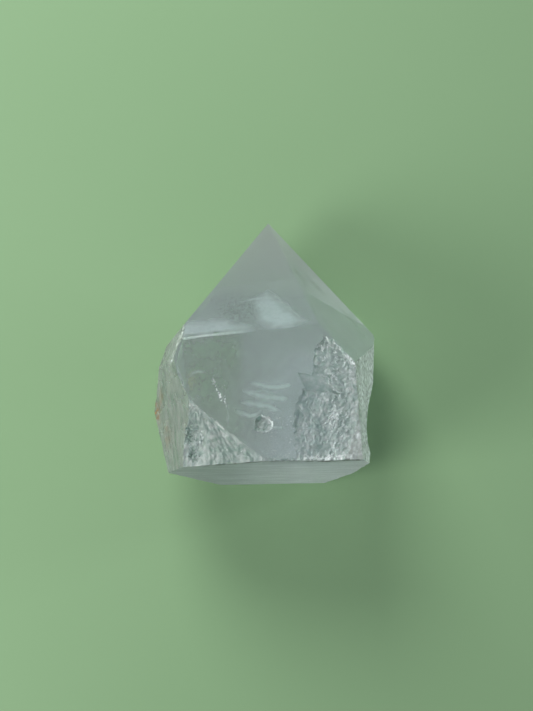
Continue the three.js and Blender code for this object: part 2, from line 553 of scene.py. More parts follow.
def nick_height(u, v, x, y, z):
    """A chain of little nicks that catch the light, each longer than it is wide."""
    wx, wy = x + 0.2 * noise(x / 0.4, y / 0.4, 107), y + 0.2 * noise(x / 0.4, y / 0.4, 109)
    into = np.full(np.shape(x), -1.0)
    for cx, cy, radius in NICKS:
        into = np.maximum(into, radius - np.hypot(1.4 * (wx - cx), 0.7 * (wy - cy)))
    return np.where(into > 0, 0.6 * into + SHALLOWEST, UNCUT)


def chip_height(u, v, x, y, z):
    """Small chips along the edge between the upper face and the sawn base."""
    reach = 0.7 + 0.5 * noise(x / 1.6, x * 0 + 3.5, 111)
    into = 1 - (y - BASE_Y) / reach + 0.35 * noise(x / 0.5, y / 0.5, 113)
    chipped = (0.12 + 0.5 * scallops(x / 0.8, y / 0.8, 115)) * np.clip(into, 0, 1.4)
    return np.where(into > 0, chipped + SHALLOWEST, UNCUT)


# Facet, spans across and up it, grid step, height and kind of surface.
CUTTERS = [
    ("resting_prism", ((-30, 30), (-28, 36)), 0.7, resting_height, GROWN),
    ("back_pyramid", ((-24, 24), (-40, 2)), 0.6, grown_height, GROWN),
    ("lower_right_pyramid", ((-6, 46), (-22, 2)), 0.6, grown_height, GROWN),
    ("lower_left_pyramid", ((-46, 6), (-22, 2)), 0.6, grown_height, GROWN),
    ("left_break", ((-24, 24), (-14, 26)), 0.26, left_break_height, WEATHERED),
    ("upper_left_break", ((-20, 26), (-20, 10)), 0.28, upper_left_height, WEATHERED),
    ("lower_left_break", ((-26, 24), (-26, 14)), 0.4, flank_height, WEATHERED),
    ("lower_left_flank", ((-24, 30), (-26, 14)), 0.4, flank_height, WEATHERED),
    ("hackle_fan", ((-25, 25), (-24, 6)), 0.16, fan_height, BROKEN),
    ("upper_prism", ((4, 24), (-36, 0)), 0.13, patch_height, BROKEN),
    ("upper_prism", ((15, 24), (-35, -17)), 0.2, margin_height, WEATHERED),
    ("upper_prism", ((-4, 3), (-28, -20.5)), 0.1, cup_height, BROKEN),
    ("upper_prism", ((-13, -8), (-21.5, -13.5)), 0.1, nick_height, BROKEN),
    ("upper_prism", ((-3, 8.5), (-33.2, -31.0)), 0.1, chip_height, BROKEN),
    ("right_prism", ((-26, 20), (-22, 6)), 0.3, prism_height, WEATHERED),
    ("right_flank", ((-40, 8), (-12, 32)), 0.4, flank_height, WEATHERED),
    ("lower_right_flank", ((-40, 10), (-14, 30)), 0.4, flank_height, WEATHERED),
    ("right_bevel", ((-40, 5), (-8, 32)), 0.3, bite_height, WEATHERED),
    ("sawn_base", ((-30, 30), (-4, 42)), 0.3, saw_height, SAWN),
]
# Centre, half axes, cragginess and seed.
PITS = [
    ((-17.2, -26.2, 35.0), (1.7, 2.1, 2.0), 0.45, 3),
    ((-16.4, -30.6, 33.6), (1.6, 1.8, 1.7), 0.5, 7),
]


def crystal():
    """The crystal with all its breaks, and the films that lie on them."""
    cutters = [fracture_cutter(*row) for row in CUTTERS] + [pit_cutter(*row) for row in PITS]
    mesh = cut_away(faceted_body(), cutters)
    mesh.name = "crystal_visual"
    count = len(mesh.polygons)
    kind = np.zeros(count, np.int32)
    mesh.polygons.foreach_get("material_index", kind)
    for name, code in (("broken", BROKEN), ("sawn", SAWN), ("grown", GROWN), ("weathered", WEATHERED)):
        layer = mesh.attributes.new(name, "FLOAT", "FACE")
        layer.data.foreach_set("value", (kind == code).astype(np.float32))
    mesh.polygons.foreach_set("use_smooth", (kind != POLISHED).tolist())
    mesh.polygons.foreach_set("material_index", [0] * count)
    mesh.update()
    mesh.set_sharp_from_angle(angle=math.radians(CREASE_ANGLE))
    films = [surface_film(mesh, kind, *row) for row in FILMS]
    mesh.materials.clear()
    mesh.materials.append(quartz_material())
    return to_metres(new_object("crystal_visual", mesh)), films


FILM_GAP = 0.03
FILM_EDGE = 0.01  # the least thickness of a film that is kept


def vectors(collection, field):
    """A three-part field of a mesh collection, one row to an item."""
    values = np.zeros(len(collection) * 3, np.float32)
    collection.foreach_get(field, values)
    return values.reshape(-1, 3)


def sheet(name, vertices, faces, thickness, look):
    """A smooth open sheet that shows as much as its thickness says at each vertex."""
    piece = mesh_object(name, vertices, faces)
    layer = piece.data.attributes.new("thickness", "FLOAT", "POINT")
    layer.data.foreach_set("value", thickness.astype(np.float32))
    piece.data.polygons.foreach_set("use_smooth", [True] * len(faces))
    piece.data.materials.append(film_material(look))
    return to_metres(piece)


def crests(mesh, points, normals):
    """How far each vertex stands out from its neighbours: above 0 on a crest, below 0 in a hollow."""
    ends = np.zeros(len(mesh.edges) * 2, np.int32)
    mesh.edges.foreach_get("vertices", ends)
    first, second = ends.reshape(-1, 2).T
    run = points[second] - points[first]
    run = run / (np.linalg.norm(run, axis=1, keepdims=True) + 1e-6)
    drop_first = -np.sum(run * normals[first], axis=1)
    drop_second = np.sum(run * normals[second], axis=1)
    count = len(points)
    drop = np.bincount(first, drop_first, count) + np.bincount(second, drop_second, count)
    return drop / np.maximum(np.bincount(ends, minlength=count), 1)


def surface_film(mesh, kind, name, kinds, amount, look):
    """A film just off the broken surface, where amount(x, y, z, crest) is above nothing."""
    points = vectors(mesh.vertices, "co")
    normals = vectors(mesh.vertex_normals, "vector")
    share = np.clip(amount(*points.T, crests(mesh, points, normals)), 0, 1)
    chosen = [
        list(face.vertices) for face in mesh.polygons
        if kind[face.index] in kinds and max(share[v] for v in face.vertices) > FILM_EDGE
    ]
    used = sorted({v for face in chosen for v in face})
    renumber = {v: k for k, v in enumerate(used)}
    vertices = points[used] + FILM_GAP * normals[used]
    vertices[:, 2] = np.minimum(vertices[:, 2], THICKNESS)
    faces = [[renumber[v] for v in face] for face in chosen]
    return sheet(name, vertices, faces, share[used], look)


# Each stain's centre, reach each way and strength.
STAINS = [
    ((-26.3, -18.3, 20.8), (1.6, 2.2, 3.0), 0.95),
    ((-24.6, -15.9, 25.6), (0.7, 2.0, 2.0), 0.4),
    ((-22.9, -24.6, 26.4), (1.2, 2.6, 3.0), 0.3),
]


def stain_amount(x, y, z, crest):
    """Rust, most of it in the hollows."""
    total = sum(
        strength * spot(x, y, cx, cy, rx, ry) * bell(z - cz, rz)
        for (cx, cy, cz), (rx, ry, rz), strength in STAINS
    )
    patches = smooth(-0.5, 0.5, noise(y / 0.8, z / 1.4, 301) + 0.5 * noise(y / 0.3, z / 0.5, 303))
    return total * patches * smooth(0.6, 0.0, crest)


# Each path, width and strength: knocked edges, and painted highlights along the rims of the broken patch and
# the cup.
KNOCKS_AND_HIGHLIGHTS = [
    ([(-18.9, -0.9), (-19.2, -3.0)], 0.45, 1.0),
    ([(-19.2, -3.0), (-19.9, -5.9), (-21.2, -9.5)], 0.5, 0.9),
    # painted highlights along the broken patch's right and lower rims
    ([(17.8, -8.8), (19.6, -11.6), (20.7, -15.2), (20.4, -19.0)], 0.4, 1.1),
    ([(19.6, -26.5), (18.9, -30.0), (17.4, -32.4)], 0.3, 0.5),
    ([(7.2, -31.9), (11.0, -32.2), (16.0, -31.7)], 0.9, 1.2),
    ([(-8.7, -26.4), (-6.4, -28.2), (-2.4, -31.3)], 0.25, 0.1),
    ([(-15.6, -29.2), (-14.9, -31.8), (-16.6, -32.0)], 0.7, 0.45),
    ([(-14.4, -25.4), (-14.2, -26.6), (-14.6, -27.6)], 0.25, 1.0),
    # painted highlights round the cup's rim and under its roof
    ([(-2.6, -25.6), (-1.4, -26.1), (0.2, -26.0), (1.2, -25.2), (1.2, -23.8)], 0.16, 1.0),
    (CUP_ROOF, 0.16, 1.1),
]
# Each patch's centre, reach each way and strength.
FROSTING = [
    (3.0, -32.2, 6.0, 0.9, 1.2),
    (15.5, -23.0, 6.0, 8.0, 0.9),
    (14.5, -12.0, 6.0, 7.0, 0.85),
    (12.4, -6.0, 2.2, 3.0, 1.1),
    (13.0, -31.5, 7.0, 2.0, 1.0),
    (8.5, -25.0, 3.0, 8.0, 0.5),
    (-9.0, -28.0, 7.0, 6.0, 0.06),
    (-16.5, -28.5, 2.5, 5.0, 0.42),
    (-0.5, -24.5, 2.5, 2.5, 0.95),
    (-22.0, -5.0, 3.5, 5.0, 0.8),
]
CORNER_CHIP = (-24.0, -31.5, 20.9, 1.5, 1.2)  # centre, radius and strength
# painted glints along the chain of nicks
GLITTER, GLITTER_WIDTH = 2.4, 0.6
LEAST_CRUSHED, SPECKLED, CREST_CRUSHED = 0.14, 0.34, 0.65
BRUISED_ABOVE = (27.0, 30.0)
DULL_SIDE_X = (20.2, 21.0)


def on_margin(x, y):
    """1 on the dull strip beside the broken patch, 0 off it."""
    return smooth(0, 0.8, inside(x, y, MARGIN))


def knocks_and_highlights(x, y):
    """Edges that were knocked, and painted highlights along the rims of the broken patch and the cup."""
    total = sum(strength * bell(along(x, y, path)[0], width) for path, width, strength in KNOCKS_AND_HIGHLIGHTS)
    return total * smooth(-0.5, 0.4, noise(x / 0.9, y / 0.9, 311) + 0.7 * noise(x / 0.35, y / 0.35, 313))


def nick_glitter(x, y):
    """Painted glints: sparkling edges along the chain of nicks."""
    gap, _ = along(x, y, [nick[:2] for nick in NICKS])
    sparkle = smooth(-0.3, 0.2, noise(x / 0.32, y / 0.32, 321))
    return GLITTER * sparkle * bell(gap, GLITTER_WIDTH)


def frost(x, y, crest):
    """Crushed crests on the rough breaks, fewer of them on the margin."""
    most = 0.0
    for *place, strength in FROSTING:
        most = np.maximum(most, strength * spot(x, y, *place))
    speckle = smooth(-0.2, 0.6, 0.6 * noise(x / 0.6, y / 0.9, 315) + noise(x / 2.0, y / 2.0, 317))
    crushed = LEAST_CRUSHED + SPECKLED * speckle + CREST_CRUSHED * smooth(0.05, 0.35, crest)
    return most * crushed * (1 - 0.8 * on_margin(x, y))


def dull_skin(x, y):
    """A fine even frosting on the right-hand side and the margin."""
    grain = smooth(-0.7, 0.5, noise(x / 0.5, y / 8, 319) + 0.5 * noise(x / 1.3, y / 3, 320))
    return (0.58 + 0.2 * grain) * np.maximum(smooth(*DULL_SIDE_X, x), 0.5 * on_margin(x, y))


def corner_frost(x, y, z):
    """The chipped corner at the left end of the sawn base."""
    cx, cy, cz, radius, strength = CORNER_CHIP
    chip = strength * spot(x, y, cx, cy, radius, radius) * bell(z - cz, radius)
    return chip * smooth(-0.2, 0.3, noise(y / 0.5, z / 0.5, 325))


def bruise_and_highlight_amount(x, y, z, crest):
    """White bruising with painted highlights: knocks and rim highlights, glints on the nicks and crests near
    the top, the dull right-hand side and a corner.
    """
    upper = (knocks_and_highlights(x, y) + nick_glitter(x, y) + frost(x, y, crest)) * smooth(*BRUISED_ABOVE, z)
    return upper + dull_skin(x, y) + corner_frost(x, y, z)


def edge_height(x):
    """How high the upper edge of the sawn base lies."""
    patch = THICKNESS - np.maximum(patch_height(None, None, x, np.full_like(x, BASE_Y), None), 0)
    outward = direction(*FACETS["hackle_fan"][1:])
    fan = THICKNESS + (x - FAN_CORNER[0]) * -outward.x / outward.z
    return np.minimum(patch, fan)


def dark_line_amount(x, y, z, crest):
    """A broken dark line along the upper edge of the sawn base."""
    below = edge_height(x) - z
    broken_up = smooth(-0.8, 0.3, noise(x / 1.6, z / 2, 321) + 0.6 * noise(x / 0.5, z / 0.5, 323))
    specks = bell(x - 13, 1.2)
    in_hollows = smooth(0.5, 0.1, crest)
    line = bell(below - 0.7, 0.9) * smooth(-16.0, -11.0, x)
    return line * (0.9 * broken_up + specks) * in_hollows


# Name, kinds of surface that it lies on, amount and look.
FILMS = [
    ("iron_stain", (WEATHERED,), stain_amount, "rust"),
    # white bruising, with painted highlights and painted glints
    ("bruises_and_highlights", (BROKEN, WEATHERED), bruise_and_highlight_amount, "snow"),
    ("edge_dark_line", (SAWN,), dark_line_amount, "dark_line"),
]


# What is sealed in the crystal, and sheets of painted shade and highlight under its faces: soft-edged sheets
# whose density fades out, and small bright flakes.

# The least cover over a veil: below a break it clears the break's own depth.
BREAK_COVER = {
    "left_break": 2.4, "upper_left_break": 0.6, "hackle_fan": 1.1, "right_prism": 0.9, "right_bevel": 2.2,
    "sawn_base": 0.3,
}
POLISHED_COVER = 0.05
COVER_FADE = 0.15
VEIL_EDGE = 0.004  # the least thickness of a veil that is kept


def buried(points):
    """1 for points well inside the crystal, falling to 0 before they reach its surface."""
    share = 1.0
    for name, (through, bearing, rise) in FACETS.items():
        cover = (np.array(through) - points) @ np.array(direction(bearing, rise))
        needed = BREAK_COVER.get(name, POLISHED_COVER)
        share = share * smooth(needed, needed + COVER_FADE, cover)
    return share


def veil(name, facet, spans, step, depth, density, look):
    """A sheet at depth(u, v) below a facet, kept where density(u, v) is above nothing."""
    grid_u, grid_v, flat, outward = facet_grid(facet, spans, step)
    points = flat - depth(grid_u, grid_v)[..., None] * outward
    amount = np.clip(density(grid_u, grid_v), 0, 1) * buried(points)
    points[..., 2] = np.minimum(points[..., 2], THICKNESS)
    points = points.reshape(-1, 3)
    _, quads = grid_quads(*grid_u.shape)
    amount = amount.reshape(-1)
    quads = quads[amount[quads].max(axis=1) > VEIL_EDGE]
    used, quads = np.unique(quads, return_inverse=True)
    return sheet(name, points[used], quads.reshape(-1, 4).tolist(), amount[used], look)


WEDGE = [
    (26, 44.5), (5.4, 44.5), (7.6, 42.0), (10.6, 39.4), (13.2, 37.4), (17.0, 36.6), (20.5, 36.9), (26, 37.0),
]
WEDGE_FOOT = 43.2
BLOB = [
    (3.4, 28.6), (6.6, 31.2), (7.0, 35.3), (6.2, 39.6), (3.4, 42.4), (-0.8, 43.2), (-3.6, 41.8),
    (-1.8, 37.8), (1.0, 32.4),
]
BLOB_SWEEP = [(7.2, 39.6), (4.8, 42.2), (1.6, 43.5), (-1.8, 43.4), (-5.0, 41.8), (-7.4, 39.8)]
TIP_STREAK = [(10.4, 31.4), (6.9, 30.6), (3.4, 30.4)]


def band(u, v, path, width, fade_in, fade_out):
    """A soft line along a path, fading over the given shares of its length."""
    gap, place = along(u, v, path)
    return bell(gap, width) * smooth(0, fade_in, place) * smooth(1, 1 - fade_out, place)


def tip_density(u, v):
    """Two bright sheets low in the front pyramid face, with a painted highlight along its edge with the
    upper face.
    """
    wu = u + 0.5 * fractal(u / 5, v / 5, 3, 201)
    wv = v + 0.5 * fractal(u / 5, v / 5, 3, 203)
    wedge = smooth(-1.8, 3.0, inside(wu, np.minimum(wv, 42.0), WEDGE))
    wedge = wedge * smooth(WEDGE_FOOT + 0.3, WEDGE_FOOT, v)
    # painted highlight along the face's edge with the upper face
    rim = 0.2 * bell(v - 43.1, 0.35) * smooth(5, 15, u)
    blob = smooth(-2.2, 3.0, inside(wu, wv, BLOB))
    sweep = band(u, v, BLOB_SWEEP, 1.0, 0.3, 0.5)
    streak = band(u, v, TIP_STREAK, 0.4, 0.4, 0.3)
    haze = 0.08 * smooth(8, 22, v)
    return 0.75 * wedge + rim + 1.1 * blob + 0.15 * sweep + 0.45 * streak + haze


def tip_depth(u, v):
    """Shallowest at the wedge's foot."""
    return 0.4 + 0.12 * (WEDGE_FOOT - v) + 0.15 * noise(u / 4, v / 4, 205)


TIP_SHADE = (10.3, 34.8, 3.2, 3.2)


def shade_density(u, v):
    """A darker speckled spot beside the blob."""
    speckle = smooth(-0.6, 0.5, noise(u / 0.5, v / 1.4, 207) + 0.5 * noise(u / 2, v / 2, 209))
    return 1.5 * spot(u, v, *TIP_SHADE) * speckle


# Each ripple's path, strength, and the shares of its length over which it fades in and out.
RIPPLES = [
    ([(-5.2, -14.4), (-3.5, -14.9), (-0.5, -15.6), (1.9, -15.9), (3.4, -15.7), (6.0, -15.2)], 1, 0.5, 0.15),
    ([(-6.8, -16.2), (-5.4, -16.6), (-1.7, -17.7), (0.2, -18.1), (2.4, -18.4), (4.8, -18.5)], 1, 0.5, 0.15),
    ([(-6.8, -19.0), (-3.9, -19.5), (0.2, -20.1), (1.9, -20.8), (4.0, -21.6)], 1.0, 0.35, 0.3),
    ([(-8.2, -20.5), (-5.6, -21.7), (-3.9, -22.3), (-2.7, -22.1), (-0.3, -20.9)], 0.9, 0.4, 0.4),
    ([(1.0, -24.8), (3.8, -24.8)], 0.6, 0.2, 0.3),
]
RIPPLE_WIDTH, SKIRT_WIDTH = 0.42, 0.95
SKIRT_SHARE = 0.14
RIPPLE_SPACING = 2.3
RIPPLE_GLOW = (-0.5, -18.0, 6, 5)


def ripple_density(u, v):
    """Bright curved ripples on a sealed fracture, each with a soft skirt."""
    beads = 1.0 + 0.35 * noise(u / 1.1, v / 1.1, 213)
    total = 0.0
    for path, strength, *fades in RIPPLES:
        core = band(u, v, path, RIPPLE_WIDTH, *fades)
        skirt = band(u, v, path, SKIRT_WIDTH, *fades)
        total = total + strength * beads * (core + SKIRT_SHARE * skirt)
    return total + 0.22 * spot(u, v, *RIPPLE_GLOW)


def ripple_depth(u, v):
    return 1.2 + 0.06 * (u + 6) + 0.1 * np.sin((v + 0.12 * u) * 2 * math.pi / RIPPLE_SPACING)


ARC = [(-18.0, -15.2), (-17.3, -14.1), (-16.3, -12.9), (-15.2, -12.5), (-12.6, -12.7)]
TAIL = [(-8.8, -19.4), (-8.5, -20.8), (-8.5, -22.6), (-8.4, -25.0)]


def wisp_density(u, v):
    """A faint arc near the left edge, and a thin straight crack below the nicks."""
    return 1.0 * band(u, v, ARC, 0.35, 0.2, 0.4) + 0.55 * band(u, v, TAIL, 0.16, 0.2, 0.3)


# Centres, reaches and strengths of the painted shade under the left of the upper face.
PAINTED_SHADE_SPOTS = [
    (-14.0, -7.5, 7.5, 7.5, 0.62),
    (-8.6, -6.2, 2.2, 2.8, 0.45),
    (-14.5, -18.5, 4.5, 5.0, 0.65),
    (-11.0, -12.5, 4.0, 5.0, 0.3),
    (-5.0, -25.5, 3.2, 3.2, 0.5),
]
PAINTED_SHADE_EDGE_X = -5.7


def painted_shade_density(u, v):
    """Painted shade: dull green mottling under the left of the upper face, straight-sided over a hidden
    edge.
    """
    shadow = 0.16 * smooth(0.4, -0.6, u - PAINTED_SHADE_EDGE_X) * smooth(-22.0, -14.0, v)
    mottled = 0.55 + 0.6 * smooth(-0.6, 0.7, fractal(u / 3.2, v / 4.5, 4, 217))
    return (spots(u, v, PAINTED_SHADE_SPOTS) + shadow) * mottled


# Centres, reaches and strengths of the painted shade below the right pyramid face.
RIGHT_MOTTLES = [
    (-21.4, 6.9, 3.5, 2.2, 0.5),
    (-18.4, 12.0, 3.0, 3.0, 0.5),
    (-33.0, 3.5, 4.5, 1.8, 0.3),
    (-40.0, 4.5, 3.0, 1.5, 0.3),
]


def right_density(u, v):
    """Painted shade: soft dull patches below the right pyramid face."""
    return spots(u, v, RIGHT_MOTTLES)


OCHRE_SPOT = (-17.0, -14.8, 1.6, 1.9)


def ochre_density(u, v):
    """An ochre tinge near the left edge."""
    return 0.75 * spot(u, v, *OCHRE_SPOT)


CLOUD_LIMIT = 0.22
CLOUDS = [
    (6.0, -9.0, 7.0, 7.0, 0.06),
    (8.0, -26.0, 7.0, 8.0, 0.24),
    (2.0, -28.0, 4.0, 4.0, 0.10),
    (8.5, -15.0, 7.0, 7.0, 0.24),
    (-3.0, -6.0, 6.5, 4.0, 0.03),
]


def cloud_density(u, v):
    """Faint broad cloudiness low in the body."""
    wu = u + 1.5 * fractal(u / 6, v / 6, 3, 221)
    wv = v + 1.5 * fractal(u / 6, v / 6, 3, 223)
    return np.minimum(spots(wu, wv, CLOUDS), CLOUD_LIMIT)


def rolling(level, swing, size, seed):
    """A veil's depth that rolls gently about a level."""
    return lambda u, v: level + swing * noise(u / size, v / size, seed)


SHADE_DEPTH = rolling(0.3, 0.02, 4, 206)
WISP_DEPTH = rolling(0.6, 0.05, 3, 215)
PAINTED_SHADE_DEPTH = rolling(0.8, 0.05, 3, 218)
CLOUD_LEVELS = {"veil_cloud": 9.0, "veil_cloud_high": 5.5, "veil_cloud_low": 12.5}
# Name, facet, spans across and up it, grid step, depth, density and look.
VEILS = [
    ("veil_tip", "front_pyramid", ((-10, 26), (24, 44)), 0.25, tip_depth, tip_density, "frost"),
    ("veil_ripples", "upper_prism", ((-9, 7), (-29, -11)), 0.15, ripple_depth, ripple_density, "mint"),
    ("veil_wisps", "upper_prism", ((-19, -7), (-26, -11)), 0.15, WISP_DEPTH, wisp_density, "frost"),
    *(
        (name, "upper_prism", ((-12, 22), (-31, 2)), 0.5, rolling(deep, 1.2, 9, 225), cloud_density, "cloud")
        for name, deep in CLOUD_LEVELS.items()
    ),
    ("veil_shade", "front_pyramid", ((4, 18), (28, 41)), 0.25, SHADE_DEPTH, shade_density, "shade"),
    ("veil_painted_shade", "upper_prism", ((-24, 3), (-32, 2)), 0.35, PAINTED_SHADE_DEPTH, painted_shade_density, "painted_shade"),
    ("veil_right", "right_pyramid", ((-46, 0), (-14, 34)), 0.5, SHADE_DEPTH, right_density, "painted_shade"),
    ("veil_ochre", "upper_prism", ((-20, -12), (-20, -10)), 0.3, WISP_DEPTH, ochre_density, "ochre"),
]


def flake(rng, place, size):
    """One thin four-sided chip at a random tilt."""
    turn = rng.uniform(0, math.pi)
    tilt = Vector((rng.gauss(0, 0.35), rng.gauss(0, 0.35), 1)).normalized()
    first, second = facet_axes(tilt)
    a = (first * math.cos(turn) + second * math.sin(turn)) * size
    b = tilt.cross(a) * rng.uniform(0.3, 0.8)
    return [place + a, place + b, place - a * rng.uniform(0.6, 1), place - b]


# Ranges of x, y and depth, and the number of flakes.
GLINT_FIELDS = [((-9, 6), (-31, -20), (0.8, 9), 150), ((-11, -7), (-24, -15), (0.5, 1.5), 50)]
GLINT_SIZE = (0.08, 0.24)
GLINT_SEED = 5


def glints():
    """Bright little cracks scattered below the upper face."""
    rng = random.Random(GLINT_SEED)
    vertices = []
    for x_range, y_range, depth_range, count in GLINT_FIELDS:
        for _ in range(count):
            depth = rng.uniform(*depth_range)
            place = Vector((rng.uniform(*x_range), rng.uniform(*y_range), THICKNESS - depth))
            vertices.extend(flake(rng, place, rng.uniform(*GLINT_SIZE)))
    faces = [[4 * k, 4 * k + 1, 4 * k + 2, 4 * k + 3] for k in range(len(vertices) // 4)]
    chips = mesh_object("glints", vertices, faces)
    chips.data.materials.append(glint_material())
    return to_metres(chips)


# Materials.
MIX_INPUTS, MIX_RESULT = (0, 6, 7), 2  # a colour mix's own sockets, among those of its other kinds


class Nodes:
    """The node tree of one material, with short calls to make nodes and join them."""

    def __init__(self, name):
        self.material = bpy.data.materials.new(name)
        self.material.use_nodes = True
        self.tree = self.material.node_tree
        self.surface = self.tree.nodes["Principled BSDF"]
        self.output = self.tree.nodes["Material Output"]

    def put(self, socket, value):
        """Joins a socket to another, or sets it to a value."""
        if isinstance(value, bpy.types.NodeSocket):
            self.tree.links.new(value, socket)
        else:
            socket.default_value = value

    def set(self, **values):
        """Sets or joins inputs of the shader, named with _ for a space."""
        for name, value in values.items():
            self.put(self.surface.inputs[name.replace("_", " ")], value)

    def make(self, kind, *values, **settings):
        """A new node, with its inputs in order; None leaves one as it is."""
        made = self.tree.nodes.new(kind)
        for name, value in settings.items():
            setattr(made, name, value)
        for socket, value in zip(made.inputs, values):
            if value is not None:
                self.put(socket, value)
        return made

    def attribute(self, name):
        return self.make("ShaderNodeAttribute", attribute_name=name).outputs["Fac"]

    def math(self, operation, *values):
        return self.make("ShaderNodeMath", *values, operation=operation).outputs[0]

    def grain(self, scale, detail=3.0, stretch=(1, 1, 1)):
        """Noise with features about 1/scale across, 0 to 1."""
        place = self.make("ShaderNodeTexCoord").outputs["Object"]
        moved = self.make("ShaderNodeMapping", place, None, None, stretch).outputs[0]
        return self.make("ShaderNodeTexNoise", moved, None, scale, detail).outputs["Fac"]

    def beyond(self, axis, start, end):
        """0 at start to 1 at end, both in millimetres along an axis of the object."""
        place = self.make("ShaderNodeTexCoord").outputs["Object"]
        parts = self.make("ShaderNodeSeparateXYZ", place)
        return self.spread(parts.outputs[axis], start * MM, end * MM)

    def spread(self, value, low, high, start=0.0, end=1.0):
        """The range low to high mapped to start to end."""
        return self.make("ShaderNodeMapRange", value, low, high, start, end).outputs[0]

    def mix(self, share, first, second):
        blend = self.make("ShaderNodeMix", data_type="RGBA")
        for index, value in zip(MIX_INPUTS, (share, first, second)):
            self.put(blend.inputs[index], value)
        return blend.outputs[MIX_RESULT]

    def bump(self, height, strength, distance):
        made = self.make("ShaderNodeBump")
        self.put(made.inputs["Height"], height)
        self.put(made.inputs["Strength"], strength)
        made.inputs["Distance"].default_value = distance
        return made.outputs[0]


QUARTZ_IOR = 1.544
TRANSMISSION = 0.73  # the rest is the stone's milkiness
ABSORPTION, ABSORPTION_DENSITY = (0.86, 0.93, 0.92, 1), 5.0
POLISHED_ROUGHNESS = 0.02
EXTRA_ROUGHNESS = {"broken": 0.16, "weathered": 0.22, "sawn": 0.45, "grown": 0.35}
SKIN_SCATTER, SKIN_DEPTH = 0.3, 0.004
BUMP_STRENGTH, BUMP_HEIGHT = 0.6, 0.0004
APEX_TINT = (0.80, 0.79, 0.87, 1)
APEX_Y = (4.0, 27.0)
# painted shade: the left of the upper face, just under its surface, tinted darker and greener
LEFT_SHADE_TINT = (0.72, 0.84, 0.77, 1)
LEFT_SHADE_X = (-4.6, -7.0)
LEFT_SHADE_Z = (THICKNESS - 0.4, THICKNESS - 0.15)
POLISHED_TINTS = ((0.76, 0.88, 0.86, 1), (0.82, 0.91, 0.92, 1))
BROKEN_TINTS = ((0.57, 0.74, 0.70, 1), (0.88, 0.97, 0.95, 1))
WEATHERED_TINTS = ((0.50, 0.58, 0.53, 1), (0.86, 0.88, 0.84, 1))
SAWN_TINTS = ((0.65, 0.70, 0.71, 1), (0.83, 0.87, 0.90, 1))


def quartz_tint(quartz, kinds):
    """Cool and even where polished, greener at the left as painted shade, greyer at the tip, and flecked on
    the breaks.
    """
    clouds = quartz.spread(quartz.grain(45, 2.0), 0.35, 0.65)
    mottled = quartz.spread(quartz.grain(190, 4.0), 0.35, 0.65, 0.5, 1.0)
    left_shade = quartz.math("MULTIPLY", quartz.beyond("X", *LEFT_SHADE_X), quartz.beyond("Z", *LEFT_SHADE_Z))
    tint = quartz.mix(clouds, *POLISHED_TINTS)
    tint = quartz.mix(quartz.beyond("Y", *APEX_Y), tint, APEX_TINT)
    tint = quartz.mix(quartz.math("MULTIPLY", left_shade, mottled), tint, LEFT_SHADE_TINT)
    flecks = quartz.spread(quartz.grain(800, 3.0), 0.36, 0.64)
    flutes = quartz.spread(quartz.grain(900, 3.0, (1, 0.12, 1)), 0.36, 0.64)
    saw_lines = quartz.spread(quartz.grain(480, 4.0, (0.12, 0.12, 1)), 0.38, 0.62)
    saw_blots = quartz.spread(quartz.grain(300, 4.0, (0.6, 0.6, 1)), 0.38, 0.62)
    sawn = quartz.mix(0.55, saw_lines, saw_blots)
    tint = quartz.mix(kinds["broken"], tint, quartz.mix(flecks, *BROKEN_TINTS))
    tint = quartz.mix(kinds["weathered"], tint, quartz.mix(flutes, *WEATHERED_TINTS))
    return quartz.mix(kinds["sawn"], tint, quartz.mix(sawn, *SAWN_TINTS))


def quartz_material():
    """Slightly milky quartz: polished where it was ground, whiter and rougher where it broke or was sawn."""
    quartz = Nodes("quartz")
    kinds = {name: quartz.attribute(name) for name in EXTRA_ROUGHNESS}
    smudge = quartz.spread(quartz.grain(160), 0.4, 0.75, 0.0, 0.08)
    rough = quartz.math("ADD", smudge, POLISHED_ROUGHNESS)
    for kind, extra in EXTRA_ROUGHNESS.items():
        rough = quartz.math("MULTIPLY_ADD", kinds[kind], extra, rough)
    crushed = quartz.math("ADD", kinds["broken"], kinds["weathered"])
    matte = quartz.math("ADD", crushed, kinds["sawn"])
    grit = quartz.grain(2200, 5.0)
    texture = quartz.math("MULTIPLY", quartz.math("MULTIPLY_ADD", matte, 0.55, 0.03), grit)
    quartz.set(
        Base_Color=quartz_tint(quartz, kinds),
        Roughness=rough,
        IOR=QUARTZ_IOR,
        Transmission_Weight=TRANSMISSION,
        Subsurface_Weight=quartz.math("MULTIPLY", crushed, SKIN_SCATTER),
        Subsurface_Radius=(1.0, 1.0, 1.0),
        Subsurface_Scale=SKIN_DEPTH,
        Normal=quartz.bump(texture, BUMP_STRENGTH, BUMP_HEIGHT),
    )
    absorption = quartz.make("ShaderNodeVolumeAbsorption", ABSORPTION, ABSORPTION_DENSITY)
    quartz.put(quartz.output.inputs["Volume"], absorption.outputs[0])
    return quartz.material


